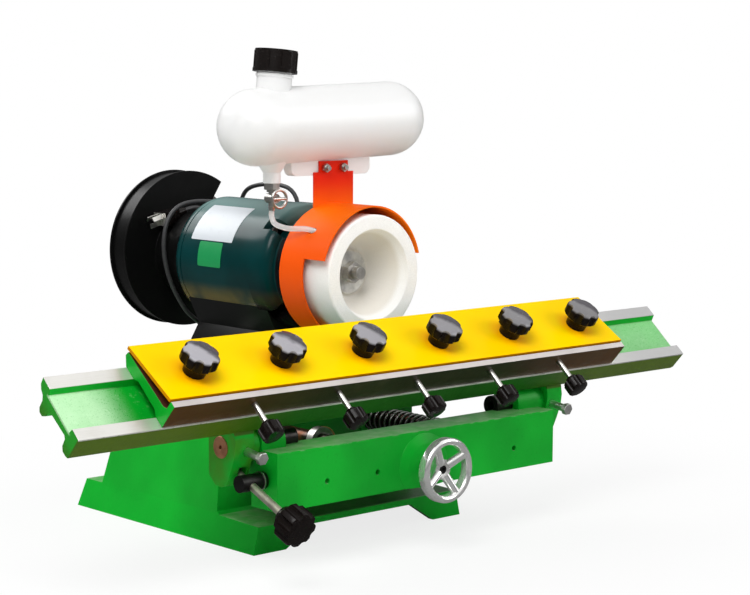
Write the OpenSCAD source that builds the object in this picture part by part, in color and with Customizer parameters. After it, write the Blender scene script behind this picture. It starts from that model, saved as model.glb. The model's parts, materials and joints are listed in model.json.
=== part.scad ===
// Planer knife grinder: a tilting bed and clamp carriage in front of a motor with a cup wheel.
// Millimetres, +X along the bed, +Y to the back, +Z up, the bench at Z = 0.

/* [Pedestal] */
// Width of the pedestal casting along the bed
base_w = 352; // [300:2:420]
// Depth of the pedestal's foot, front to back
base_d = 380; // [320:2:440]
// Height of the pedestal's top deck
base_h = 176; // [140:1:200]
// Height of the foot flange
foot_h = 36; // [24:1:50]
// Wall of the hollow casting
base_wall = 9; // [6:1:14]

/* [Bed and carriage] */
// Length of the bed
bed_l = 1000; // [800:10:1400]
// Width of the bed across its two rails
bed_w = 90; // [80:1:120]
// Slope of the bed
bed_tilt = 42; // [30:1:50]
// Depth of the bed's side lips
bed_h = 33; // [26:1:44]
// Length of the knife carriage
car_l = 742; // [600:2:900]
// Carriage middle, measured from the bed's middle
car_x = -20; // [-120:1:120]
// Slope of the clamp plate against the bed
plate_lean = 9.3; // [0:0.1:15]
// Width of the clamp plate
plate_w = 93; // [80:1:110]
// Clamp plate thickness
plate_t = 4; // [3:0.5:8]
// Clamp knobs on the plate
star_n = 6; // [4:1:6]
// Spacing of the clamp knobs
knob_pitch = 126; // [100:1:150]

/* [Cross slide] */
// Length of the saddle beam
beam_l = 464; // [380:2:520]
// Height of the saddle beam
beam_h = 69; // [50:1:90]
// Depth of the saddle beam
beam_d = 48; // [36:1:70]
// Handwheel diameter
wheel_d = 80; // [63:1:125]
// Guide bar diameter
bar_d = 22; // [16:1:30]
// Turns of the return spring
spring_n = 14; // [8:1:18]

/* [Motor and wheels] */
// Height of the motor's axis
axis_z = 334; // [300:1:380]
// Motor diameter
motor_d = 164; // [140:2:190]
// Cup wheel diameter
cup_d = 150; // [125:5:180]
// Cup wheel depth
cup_t = 73; // [50:1:80]
// Rear wheel guard diameter
drum_d = 214; // [180:2:240]

/* [Coolant] */
// Bottle length
bottle_l = 316; // [240:2:360]
// Bottle diameter
bottle_d = 96; // [80:1:120]
// Hose diameter
hose_d = 7; // [5:0.5:10]

/* [Cord] */
// Mains cord diameter
cord_d = 6; // [5:0.5:8]

/* [Hidden] */
$fn = 64;

GREEN = [0.02, 0.6, 0.17];
BLACK = [0.06, 0.06, 0.06];
STEEL = [0.75, 0.75, 0.73];
TEAL = [0.02, 0.24, 0.21];
ORANGE = [0.95, 0.38, 0.06];
WHITE = [0.94, 0.93, 0.9];

eps = 0.01;
run = 0.05;          // radial running clearance of a shaft in its hole
origin_y = 87;       // moves the whole object so that its box is centred on Y = 0
motor_r = motor_d / 2;

// the bed's front top edge, and the pivot under it
bed_y = -299.3;
bed_z = 197.7;
pivot_y = -252.5;
pivot_z = 155.5;
pivot_r = 13;
lug_in = 233.2;
lug_out = 274;

// saddle
beam_y = -304;
beam_z = 81;
screw_z = 106.5;
screw_r = 8;
bar_x = 80;
bar_z = 132;
block_in = 196;

// tilt screw: swivel on the left lug, trunnion on the beam's left end
tilt_x = -256;
swivel_y = -252;
swivel_z = 128;
trun_y = -280.5;
trun_z = 115.9;
rod_r = 5;
rod_drop = atan2(swivel_z - trun_z, swivel_y - trun_y);

// cup wheel and guard, along Y
cup_face = -212;
cup_back = cup_face + cup_t;
guard_y = -130;
guard_r = 86;
sheet_t = 2;
tab_x = 2;

// drum guard at the rear
drum_y0 = 172;
drum_y1 = 208;
drum_z = 340;
drum_r = drum_d / 2;

// bottle
bottle_x = -4;
bottle_y = -118;
bottle_z = 520.5;
bottle_lean = 2;
bottle_wall = 2.5;
neck_x = -86;
neck_lean = 6;
neck_r = 22;
outlet_x = -88;

// carriage section, in the bed's own plane
car_front = 1.5;
lip_w = 7.8;
lip_top = 34.2;
floor_v = 23;
plate_u = 11.5;
plate_v = 35.8;
star_s = 38.3;
adj_v = 20.5;

// helpers
module ycyl(r, y0, y1, x = 0, z = 0) {
  translate([x, y0, z]) rotate([-90, 0, 0]) cylinder(h = y1 - y0, r = r);
}
module xcyl(r, x0, x1, y = 0, z = 0) {
  translate([x0, y, z]) rotate([0, 90, 0]) cylinder(h = x1 - x0, r = r);
}
module yz(x0, x1) {
  translate([x0, 0, 0]) rotate([90, 0, 90]) linear_extrude(x1 - x0) children();
}
module xz(y0, y1) {
  translate([0, y1, 0]) rotate([90, 0, 0]) linear_extrude(y1 - y0) children();
}
module turned_y(z = axis_z) {
  translate([0, 0, z]) rotate([-90, 0, 0]) rotate_extrude() children();
}
module on_bed() {
  translate([0, bed_y, bed_z]) rotate([bed_tilt, 0, 0]) children();
}
module on_plate() {
  on_bed() translate([0, plate_u, plate_v]) rotate([-plate_lean, 0, 0]) children();
}
module hex_y(af, y0, y1, x, z) {
  translate([x, y0, z]) rotate([-90, 30, 0]) cylinder(h = y1 - y0, r = af / sqrt(3), $fn = 6);
}
module sector(a0, a1, r) {
  polygon(concat([[0, 0]], [for (i = [0:6]) let (a = a0 + (a1 - a0) * i / 6) r * [cos(a), sin(a)]]));
}
module each_side() {
  children();
  mirror([1, 0, 0]) children();
}
// a turned knob with flutes cut round it, on the axis +Z
module fluted(r, flute_r, n, depth, z0, z1) difference() {
  rotate_extrude() children();
  for (i = [0:n - 1])
    rotate((i + 0.5) * 360 / n) translate([r + flute_r - depth, 0, z0]) cylinder(h = z1 - z0, r = flute_r);
}

// tubes swept along a list of points
function unit(v) = v / norm(v);
function bend(p, i) = unit(p[min(i + 1, len(p) - 1)] - p[max(i - 1, 0)]);
function side_of(t) = unit(cross(t, abs(t[2]) < 0.8 ? [0, 0, 1] : [1, 0, 0]));
function carry(s, t) = unit(s - (s * t) * t);
function sides(p, i = 0, out = []) =
  i == len(p) ? out
  : sides(p, i + 1, concat(out, [i == 0 ? side_of(bend(p, 0)) : carry(out[i - 1], bend(p, i))]));
module tube(p, r, n) {
  s = sides(p);
  rings = [for (i = [0:len(p) - 1]) for (k = [0:n - 1])
    let (t = bend(p, i), b = cross(t, s[i]), a = k * 360 / n) p[i] + r * (cos(a) * s[i] + sin(a) * b)];
  m = len(p);
  walls = [for (i = [0:m - 2]) for (k = [0:n - 1]) each
    [[i * n + k, i * n + (k + 1) % n, (i + 1) * n + k],
     [i * n + (k + 1) % n, (i + 1) * n + (k + 1) % n, (i + 1) * n + k]]];
  ends = concat([for (k = [1:n - 2]) [0, k + 1, k]],
                [for (k = [1:n - 2]) [(m - 1) * n, (m - 1) * n + k, (m - 1) * n + k + 1]]);
  polyhedron(points = rings, faces = [for (f = concat(walls, ends)) [f[0], f[2], f[1]]], convexity = 10);
}
// smooth curve through hand-set points, with an even number of steps between each pair
function spline_at(a, b, c, d, t) =
  0.5 * (2 * b + (c - a) * t + (2 * a - 5 * b + 4 * c - d) * t * t + (3 * b - a - 3 * c + d) * t * t * t);
function smooth(p, step) = concat(
  [for (i = [0:len(p) - 2])
    let (a = i == 0 ? 2 * p[0] - p[1] : p[i - 1], d = i == len(p) - 2 ? 2 * p[i + 1] - p[i] : p[i + 2],
         n = max(1, round(norm(p[i + 1] - p[i]) / step)))
    for (k = [0:n - 1]) spline_at(a, p[i], p[i + 1], d, k / n)],
  [p[len(p) - 1]]);
function path_len(p) = len(p) < 2 ? 0 : [for (i = [0:len(p) - 2]) norm(p[i + 1] - p[i])] * [for (i = [0:len(p) - 2]) 1];
// least clear distance of a wound tube to its own later turns
function least_gap(p, r, skip) =
  min([for (i = [0:len(p) - 1]) for (j = [i + skip:1:len(p) - 1]) norm(p[i] - p[j])]) - 2 * r;

// pedestal

base_side = [[-base_d / 2, 0], [base_d / 2, 0], [base_d / 2 - 10, foot_h + 1], [144, foot_h + 1],
             [90, base_h], [-111, base_h], [-106, foot_h + 4], [-111, foot_h], [-base_d / 2, foot_h - 2]];
base_core = [[-base_d / 2 + base_wall, -1], [base_d / 2 - base_wall, -1], [base_d / 2 - 18, foot_h - 8],
             [138, foot_h - 8], [82, base_h - base_wall], [-98, base_h - base_wall], [-98, foot_h - 8],
             [-base_d / 2 + base_wall, foot_h - 10]];
// ends of the pedestal draw in towards the top
function base_end(t) = [[-base_w / 2 + t, -2], [base_w / 2 - t, -2], [base_w / 2 - 9 - t, foot_h + 1],
                        [base_w / 2 - 15 - t, base_h + 1], [-base_w / 2 + 15 + t, base_h + 1],
                        [-base_w / 2 + 9 + t, foot_h + 1]];
bracket_x = 84;
bracket_ys = [-58, 58];

module base_casting() color(GREEN) difference() {
  union() {
    difference() {
      intersection() {
        yz(-base_w / 2, base_w / 2) polygon(base_side);
        xz(-base_d, base_d) polygon(base_end(0));
      }
      intersection() {
        yz(-base_w / 2, base_w / 2) polygon(base_core);
        xz(-base_d, base_d) polygon(base_end(base_wall));
      }
    }
    for (s = [-1, 1]) ycyl(20, -115, -70, s * bar_x, bar_z);
    for (x = [-bracket_x, bracket_x]) for (y = bracket_ys)
      translate([x, y, base_h - 22]) cylinder(h = 22, r = 13);
  }
  // arch between the front feet
  xz(-base_d / 2 - 1, -150) polygon([[-126, -1], [128, -1], [86, foot_h - 10], [-80, foot_h - 10]]);
  for (s = [-1, 1]) ycyl(bar_d / 2 + run, -120, -60, s * bar_x, bar_z);
  ycyl(14, -120, -90, 0, screw_z);
  for (x = [-bracket_x, bracket_x]) for (y = bracket_ys)
    translate([x, y, base_h - 30]) cylinder(h = 40, r = 5);
}
module bracket_side() {
  polygon([[-100, base_h], [100, base_h], [100, base_h + 9], [72, base_h + 12], [62, 229], [49, 250],
           [66, 285], [-66, 285], [-49, 250], [-62, 229], [-72, base_h + 12], [-100, base_h + 9]]);
}
module motor_bracket() color(BLACK) difference() {
  xz(-80, 84) bracket_side();
  ycyl(motor_r, -100, 100, 0, axis_z);
  ycyl(83, -100, shell_y0, 0, axis_z);
  xz(-68, 72) polygon([[-60, base_h - 1], [60, base_h - 1], [44, 236], [-44, 236]]);
  for (x = [-bracket_x, bracket_x]) for (y = bracket_ys)
    translate([x, y, base_h - 1]) cylinder(h = 20, r = 5);
}
module bracket_bolts() color(STEEL)
  for (x = [-bracket_x, bracket_x]) for (y = bracket_ys) {
    translate([x, y, base_h - 24]) cylinder(h = 40, r = 5);
    translate([x, y, base_h + 12]) cylinder(h = 7, r = 16 / sqrt(3), $fn = 6);
  }
module feed_nut() color([0.72, 0.55, 0.25]) difference() {
  union() {
    ycyl(14, -116, -80, 0, screw_z);
    ycyl(22, -116, -108, 0, screw_z);
  }
  ycyl(screw_r + run, -120, -70, 0, screw_z);
}

// motor

shell_y0 = -62;
shell_y1 = 80;
bolt_r = 68;

module bolt_ring() for (i = [0:3]) rotate([0, 45 + i * 90, 0]) children();
module motor_shell() color(TEAL) difference() {
  turned_y() polygon([[12, shell_y0], [motor_r, shell_y0], [motor_r, shell_y1], [12, shell_y1]]);
  translate([0, 0, axis_z]) bolt_ring() translate([0, -70, bolt_r]) rotate([-90, 0, 0]) cylinder(h = 160, r = 2.5);
}
module motor_rear_bell() color(TEAL) difference() {
  turned_y() polygon([[10 + run, shell_y1], [10 + run, 97], [72, 97], [78, 95], [81, 91], [motor_r, 86],
                      [motor_r, shell_y1 + 1.6], [motor_r - 1.4, shell_y1 + 1.6], [motor_r - 1.4, shell_y1]]);
  translate([0, 0, axis_z]) bolt_ring() translate([0, 78, bolt_r]) rotate([-90, 0, 0]) cylinder(h = 14, r = 2.5);
}
module motor_front_bell() color(TEAL) difference() {
  turned_y() polygon(concat(
    [[10 + run, guard_y], [60, guard_y], [60, -118], [66, -105]],
    [for (a = [0:15:90]) [69 + 14 * sin(a), -84 - 14 * cos(a)]],
    [[83, shell_y0], [64, shell_y0], [64, -78], [10 + run, -84]]));
  translate([0, 0, axis_z]) bolt_ring() {
    translate([-9, -110, 60]) cube([18, 38, 30]);
    translate([0, -80, bolt_r]) rotate([-90, 0, 0]) cylinder(h = 30, r = 2.5);
  }
  guard_screw_places() ycyl(2.5, -133, -118, 54, 0);
}
module through_bolts() color(STEEL) translate([0, 0, axis_z]) bolt_ring()
  translate([0, 0, bolt_r]) rotate([-90, 0, 0]) {
    translate([0, 0, -72]) cylinder(h = 160, r = 2.5);
    translate([0, 0, -76]) cylinder(h = 4, r = 9 / sqrt(3), $fn = 6);
  }
module switch_box() color(BLACK) union() {
  difference() {
    xz(-22, 62) polygon([[60, 369], [94, 369], [101, 367], [104, 363], [104, 306], [98, 300], [70, 300]]);
    ycyl(motor_r, -30, 70, 0, axis_z);
    translate([90, 9, 329]) cube([20, 22, 32]);
  }
  ycyl(1.5, 8, 32, 100, 345);
}
module switch_rocker() color([0.7, 0.08, 0.06]) difference() {
  xz(9.5, 30.5) polygon([[98, 330], [105, 330], [104, 345], [105, 360], [98, 360], [96, 345]]);
  ycyl(1.5 + run, 9, 31, 100, 345);
}

// cup wheel, its flanges and shaft

module rotor_shaft() color(STEEL) union() {
  ycyl(10, cup_back + 9, 176, 0, axis_z);
  ycyl(8, -187, cup_back + 9, 0, axis_z);
  ycyl(8, 176, 204, 0, axis_z);
}
module wheel_flanges() color(STEEL) {
  turned_y() polygon([[8, -161.5], [16, -161.5], [16, cup_back], [32, cup_back], [32, cup_back + 9], [8, cup_back + 9]]);
  turned_y() polygon([[8, -166], [27, -166], [29, -164], [29, -162], [8, -162]]);
}
module cup_wheel() color(WHITE) turned_y()
  polygon([[16, cup_back], [16, -162], [33, -162], [36, -165], [57, cup_face], [cup_d / 2 - 1.5, cup_face],
           [cup_d / 2, cup_face + 1.5], [cup_d / 2, cup_back + -3], [cup_d / 2 - 3, cup_back]]);
module wheel_nuts() color(STEEL) difference() {
  union() {
    hex_y(24, -176, -166, 0, axis_z);
    hex_y(24, 197, 204, 0, axis_z);
  }
  ycyl(8, -180, 210, 0, axis_z);
}
module rear_wheel() color([0.45, 0.44, 0.42])
  turned_y() polygon([[8, 181], [92, 181], [92, 194], [8, 194]]);
module rear_flanges() color(STEEL) {
  turned_y() polygon([[8, 176], [28, 176], [30, 178], [30, 181], [8, 181]]);
  turned_y() polygon([[8, 194], [30, 194], [28, 197], [8, 197]]);
}

// sheet guard of the cup wheel

module guard_screw_places() translate([0, 0, axis_z])
  for (a = [50, 130, 205]) rotate([0, -a, 0]) children();
module guard_screws() color(STEEL) guard_screw_places() {
  ycyl(2.5, -132, -119, 54, 0);
  ycyl(5, -135, -132, 54, 0);
}
module guard_band(y0, a0, a1) difference() {
  translate([0, 0, axis_z]) xz(y0, guard_y) sector(a0, a1, guard_r * 1.3);
  difference() {
    translate([-200, -300, 100]) cube([400, 300, 450]);
    ycyl(guard_r, -300, 0, 0, axis_z);
  }
  ycyl(guard_r - sheet_t, -300, guard_y - sheet_t, 0, axis_z);
}
hose_end = [-58, -179, 386];
hose_in = [-69, -164, 391.5];
module wheel_guard() color(ORANGE) difference() {
  union() {
    guard_band(cup_face, 15, 165);
    guard_band(-174, 164, 250);
    xz(guard_y - sheet_t, guard_y) polygon([[tab_x - 33, 405], [tab_x + 33, 405], [tab_x + 33, 459],
      [tab_x + 24, 459], [tab_x + 24, 472.9], [tab_x - 24, 472.9], [tab_x - 24, 459], [tab_x - 33, 459]]);
  }
  ycyl(46, -140, -120, 0, axis_z);
  guard_screw_places() ycyl(2.5, -140, -120, 54, 0);
  for (s = [-1, 1]) ycyl(3, -140, -120, tab_x + s * 14.5, 464);
  // the front edge runs a little back on the right
  translate([-82, cup_face - 1, 300]) rotate(2.8) translate([0, -60, 0]) cube([200, 60, 200]);
  // the hose goes in aslant
  aslant = hose_end - hose_in;
  translate(hose_end) rotate([0, acos(aslant[2] / norm(aslant)), atan2(aslant[1], aslant[0])])
    translate([0, 0, -22]) cylinder(h = 32, r = hose_d / 2 + 1);
}

// bottle, petcock and hose

module capsule(r) rotate([0, -bottle_lean, 0]) {
  half = (bottle_l - bottle_d) / 2;
  xcyl(r, -half, half);
  for (s = [-1, 1]) translate([s * half, 0, 0]) sphere(r);
}
module neck_at() translate([neck_x, bottle_y, 556]) rotate([0, neck_lean, 0]) children();
module coolant_bottle() color([0.97, 0.97, 0.96, 0.85]) difference() {
  union() {
    translate([bottle_x, bottle_y, bottle_z]) capsule(bottle_d / 2);
    neck_at() cylinder(h = 34, r = neck_r);
    neck_at() translate([0, 0, 22]) cylinder(h = 4, r = neck_r + 1.5);
    // mounting rib with rounded ends
    for (x = [tab_x - 59, tab_x + 54]) ycyl(9, guard_y, guard_y + 15, x, 464);
    translate([tab_x - 68, guard_y, 464]) cube([131, 15, 21]);
    translate([tab_x - 59, guard_y, 455]) cube([113, 15, 12]);
    translate([outlet_x, bottle_y, 460]) cylinder(h = 24, r1 = 11, r2 = 26);
    translate([outlet_x, bottle_y, 447]) cylinder(h = 20, r = 11);
  }
  translate([bottle_x, bottle_y, bottle_z]) capsule(bottle_d / 2 - bottle_wall);
  neck_at() translate([0, 0, -20]) cylinder(h = 60, r = neck_r - bottle_wall);
  translate([outlet_x, bottle_y, 440]) cylinder(h = 50, r = 4);
  for (s = [-1, 1]) ycyl(3, -140, -100, tab_x + s * 14.5, 464);
}
module bottle_cap() color(BLACK) difference() {
  neck_at() {
    translate([0, 0, 28]) cylinder(h = 4, r = 28);
    translate([0, 0, 31]) cylinder(h = 25, r = 26.6);
    for (i = [0:5]) rotate(i * 60 + 20) translate([22, -6.5, 31.5]) cube([5.2, 13, 22]);
  }
  neck_at() translate([0, 0, 27]) cylinder(h = 25, r = neck_r + run);
}
module bottle_bolts() color(STEEL) for (s = [-1, 1]) {
  ycyl(3, -141, -110, tab_x + s * 14.5, 464);
  hex_y(10, -137, -132, tab_x + s * 14.5, 464);
  hex_y(10, -115, -111, tab_x + s * 14.5, 464);
}
key_z = 428;
module petcock_body() color(STEEL) difference() {
  union() {
    translate([outlet_x, bottle_y, 413]) cylinder(h = 40, r = 4);
    translate([outlet_x, bottle_y, 439]) cylinder(h = 8, r = 9 * 2 / sqrt(3), $fn = 6);
    translate([outlet_x, bottle_y, 436]) cylinder(h = 3, r = 6.5);
    ycyl(6, bottle_y - 9, bottle_y + 8, outlet_x, key_z);
    translate([outlet_x, bottle_y, 413]) cylinder(h = 5, r1 = 3.5, r2 = 4.6);
  }
  ycyl(3 + run, bottle_y - 20, bottle_y - 2, outlet_x, key_z);
  translate([outlet_x, bottle_y, 405]) cylinder(h = 18, r = 1.6);
}
module petcock_key() color(STEEL) translate([outlet_x, 0, key_z]) union() {
  ycyl(3, bottle_y - 15, bottle_y - 3);
  translate([0, bottle_y - 15, 0]) rotate([90, 0, 0]) rotate_extrude() translate([11, 0]) circle(r = 1.9, $fn = 20);
  xcyl(1.8, -10, 10, bottle_y - 15, 0);
}
// route of the hose from the petcock into the guard
hose_route = [[outlet_x, bottle_y, 413], [outlet_x, bottle_y, 405], [-87, -124, 396], [-81, -142, 391.5],
              hose_in, hose_end];
module coolant_hose() color([0.9, 0.9, 0.92, 0.6]) tube(smooth(hose_route, 7), hose_d / 2, 10);

// rear wheel guard

module drum_open(y0, y1) translate([0, 0, drum_z]) xz(y0, y1) sector(-45, 57, 160);
module rear_guard() color(BLACK) difference() {
  union() {
    turned_y() polygon([[48, 97], [64, 97], [64, 140], [56.5, 140], [56.5, drum_y0], [48, drum_y0]]);
    difference() {
      turned_y(drum_z) polygon([[20, drum_y0], [drum_r, drum_y0], [drum_r, drum_y0 + 3], [drum_r - 3.5, drum_y0 + 3],
        [drum_r - 3.5, drum_y1 - 3], [drum_r - 6.5, drum_y1 - 3], [drum_r - 6.5, drum_y0 + 3], [20, drum_y0 + 3]]);
      difference() {
        drum_open(drum_y0 - 1, drum_y1);
        ycyl(64, drum_y0 - 2, drum_y0 + 3, 0, axis_z);
      }
    }
  }
  ycyl(31, drum_y0 - 1, drum_y1, 0, axis_z);
}
module rear_guard_cover() color(BLACK) difference() {
  ycyl(drum_r, drum_y1 - 3, drum_y1, 0, drum_z);
  drum_open(drum_y1 - 4, drum_y1 + 1);
}

// mains cord: out of the switch box, back over the motor, down to the coil behind the pedestal,
// and up again over the rear guard's neck to the plug

gland_at = [84, 36, 369];
coil_at = [70, 246];
coil_turns = 2;
coil_out = 44;
coil_in = 28;
coil_z = cord_d / 2 + 0.2;
coil_lift = cord_d + 0.8;
lead_a_route = [[84, 36, 399], [84, 36.9, 405.8], [84, 39.7, 412.4], [84, 44.2, 418.2], [84, 50, 422.6],
                [84, 57, 425.8], [84, 69, 428.2], [84, 88, 429.4], [84, 113, 428], [84, 138, 423],
                [84.4, 153, 414.5], [85.2, 162, 400], [86.4, 164.5, 380], [88, 161, 350], [89, 153, 315],
                [88, 147.5, 280], [88, 149, 240], [90, 160, 190], [94, 178, 135], [100, 193, 90],
                [105, 203.5, 60], [109, 211.5, 39.5], [111.8, 217.4, 26], [113, 221.4, 18],
                [113.7, 225, 12.7], [114, 229.5, 8.4], [114, 234.7, 5.4], [114, 240.3, 3.8],
                [114, 246, 3.2]];
lead_b_route = [[26, 246, 10], [26, 240.3, 10.6], [25.9, 234.6, 12.4], [25.7, 229.5, 15.4],
                [25.4, 225, 19.5], [25, 221.2, 24.8], [24.2, 217, 33], [23, 211, 48], [21.4, 203, 70],
                [19, 188, 106], [17.5, 173, 138], [16, 158.5, 172], [12.5, 147, 200], [4, 137.5, 221],
                [-8, 132, 236.5], [-21, 130, 247], [-34.5, 130, 258], [-48, 130, 276], [-60.5, 130, 298],
                [-69, 130, 322], [-72.6, 130, 344.5], [-71.8, 130, 364], [-66.5, 130, 382.5],
                [-56.5, 129, 397], [-42, 126, 405.5], [-23, 120, 408.5], [2, 113, 407], [19, 111, 403],
                [33, 111, 398.7], [46.2, 114.6, 394.6], [56, 124.2, 391.2], [59.5, 137.5, 389],
                [56, 150.8, 388.2], [46.2, 160.4, 388.9], [33, 164, 391], [18, 162.8, 394.4],
                [4, 159.9, 396.8], [-7, 157.8, 396.6], [-17.1, 157, 394.2]];
function coil_r(t) = t < coil_turns ? coil_out - (coil_out - coil_in) * t / coil_turns
  : t < coil_turns + 0.5 ? coil_in
  : coil_in + (coil_out - coil_in) * (t - coil_turns - 0.5) / coil_turns;
function coil_lay(t) = coil_z + coil_lift * min(1, max(0, (t - coil_turns) / 0.5));
coil_path = [for (i = [0:24 * (2 * coil_turns + 0.5)]) let (t = i / 24, a = t * 360)
  [coil_at[0] + coil_r(t) * cos(a), coil_at[1] + coil_r(t) * sin(a), coil_lay(t)]];
cord_step = 17;
echo("cord length", path_len(smooth(lead_a_route, 5)) + path_len(coil_path) + path_len(smooth(lead_b_route, 5)));
echo("cord coil least gap", least_gap(coil_path, cord_d / 2, 12));

module cord_gland() color(BLACK) union() {
  translate(gland_at) cylinder(h = 6, r = 8);
  translate(gland_at + [0, 0, 5]) cylinder(h = 25, r1 = 6.5, r2 = 4.2);
}
module cord_lead_a() color([0.2, 0.2, 0.21]) tube(smooth(lead_a_route, cord_step), cord_d / 2, 8);
module cord_lead_b() color([0.35, 0.35, 0.36]) tube(smooth(lead_b_route, cord_step), cord_d / 2, 8);
module cord_coil() color([0.35, 0.35, 0.36]) tube(coil_path, cord_d / 2, 6);
plug_at = [-17.1, 157, 394.2];
plug_dip = 15;
module plug() color(BLACK) translate(plug_at) rotate([0, 90 + plug_dip, 180]) {
  difference() {
    union() {
      cylinder(h = 16, r1 = 4.5, r2 = 8);
      translate([0, 0, 16]) linear_extrude(26, scale = [1.25, 1.25]) square([15, 21], center = true);
      color(STEEL) {
        translate([4, 0, 42]) translate([-3.2, -0.75, 0]) cube([6.4, 1.5, 19]);
        for (s = [-1, 1]) translate([-5, s * 6.5, 42]) rotate(s * 30) translate([-3.2, -0.75, 0]) cube([6.4, 1.5, 17]);
      }
    }
  }
}

// cross slide

module saddle_beam() color(GREEN) difference() {
  union() {
    difference() {
      translate([-beam_l / 2, beam_y, beam_z]) cube([beam_l, beam_d, beam_h]);
      // the casting is open at the back
      translate([-beam_l / 2 + 14, beam_y + 13, beam_z + 12]) cube([beam_l - 28, beam_d, beam_h - 24]);
    }
    for (s = [-1, 1]) ycyl(18, beam_y + 6, beam_y + beam_d, s * bar_x, bar_z);
    ycyl(25, beam_y - 5, beam_y + beam_d, 0, screw_z);
    intersection() {
      turned_y(screw_z) polygon([[0, beam_y + 3], [42, beam_y + 3], [40, beam_y - 0.5], [33, beam_y - 3],
                                 [26, beam_y - 5], [0, beam_y - 5]]);
      translate([-60, beam_y - 10, beam_z]) cube([120, 20, beam_h]);
    }
    // bearing blocks of the pivot
    each_side() {
      xcyl(23.5, block_in, beam_l / 2, pivot_y, pivot_z);
      translate([block_in, pivot_y - 23.5, beam_z + 30]) cube([beam_l / 2 - block_in, 47, pivot_z - beam_z - 30]);
    }
  }
  each_side() xcyl(pivot_r, block_in - 5, beam_l / 2 + 5, pivot_y, pivot_z);
  for (s = [-1, 1]) ycyl(bar_d / 2, beam_y + 14, beam_y + beam_d + 5, s * bar_x, bar_z);
  ycyl(screw_r + run, beam_y - 10, beam_y + beam_d + 5, 0, screw_z);
  for (x = [-156, -76, 159]) ycyl(3.5, beam_y - 1, beam_y + 14, x, 108);
  xcyl(5 + run, -beam_l / 2 - 1, -beam_l / 2 + 15, trun_y, trun_z);
}
module pivot_shafts() color([0.5, 0.34, 0.24]) each_side() difference() {
  xcyl(pivot_r, 168, lug_out + 1, pivot_y, pivot_z);
  xcyl(2.5, lug_out - 5, lug_out + 2, pivot_y, pivot_z);
  xcyl(6, 167, 178, pivot_y, pivot_z);
}
module guide_bars() color([0.55, 0.4, 0.32])
  for (s = [-1, 1]) ycyl(bar_d / 2, beam_y + 14, -20, s * bar_x, bar_z);
module stop_collar() color(STEEL) difference() {
  ycyl(18, -207, -196, -bar_x, bar_z);
  ycyl(bar_d / 2, -210, -190, -bar_x, bar_z);
  translate([-bar_x, -201.5, bar_z + 8]) cylinder(h = 20, r = 2.5);
}
spring_y0 = beam_y + beam_d + 0.4;
spring_y1 = -115.4;
spring_wire = 2.2;
spring_r = 14.4;
function spring_pt(t) = let (a = t * 360)
  [bar_x + spring_r * cos(a), spring_y0 + spring_wire + (spring_y1 - spring_y0 - 2 * spring_wire) * t / spring_n,
   bar_z + spring_r * sin(a)];
spring_path = concat(
  [spring_pt(0) - [0, 0, 2 * spring_wire]], [for (i = [0:8 * spring_n]) spring_pt(i / 8)],
  [spring_pt(spring_n) + [0, 0, 2 * spring_wire]]);
echo("spring least gap", least_gap(spring_path, spring_wire, 5));
module return_spring() color(BLACK) tube(spring_path, spring_wire, 6);

rim_y = -346;
hub_y = -338;
module handwheel() color([0.85, 0.86, 0.88]) translate([0, 0, screw_z]) difference() {
  union() {
    translate([0, rim_y, 0]) rotate([-90, 0, 0]) rotate_extrude()
      for (d = [0, 7]) translate([wheel_d / 2 - 4.4, d]) circle(r = 4.4, $fn = 32);
    translate([0, rim_y, 0]) rotate([-90, 0, 0]) rotate_extrude()
      translate([wheel_d / 2 - 8.8, 0]) square([8.8, 7]);
    ycyl(12.5, hub_y, -316);
    for (i = [0:3]) rotate([0, 61 + i * 90, 0]) translate([0, hub_y + 4, 0]) rotate([16, 0, 0])
      translate([0, 0, 9]) cylinder(h = wheel_d / 2 - 12, r1 = 6, r2 = 5.2, $fn = 24);
  }
  ycyl(screw_r, hub_y + 3, -310);
  ycyl(5.4, hub_y - 10, hub_y + 4);
}
module leadscrew() color(STEEL) union() {
  ycyl(screw_r, hub_y + 3, -62, 0, screw_z);
  ycyl(13, -316, beam_y - 5.3, 0, screw_z);
}
module handwheel_screw() color(BLACK) difference() {
  ycyl(5.4, hub_y - 0.6, hub_y + 3, 0, screw_z);
  hex_y(5, hub_y - 2, hub_y + 1.5, 0, screw_z);
}

// bed

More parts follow.
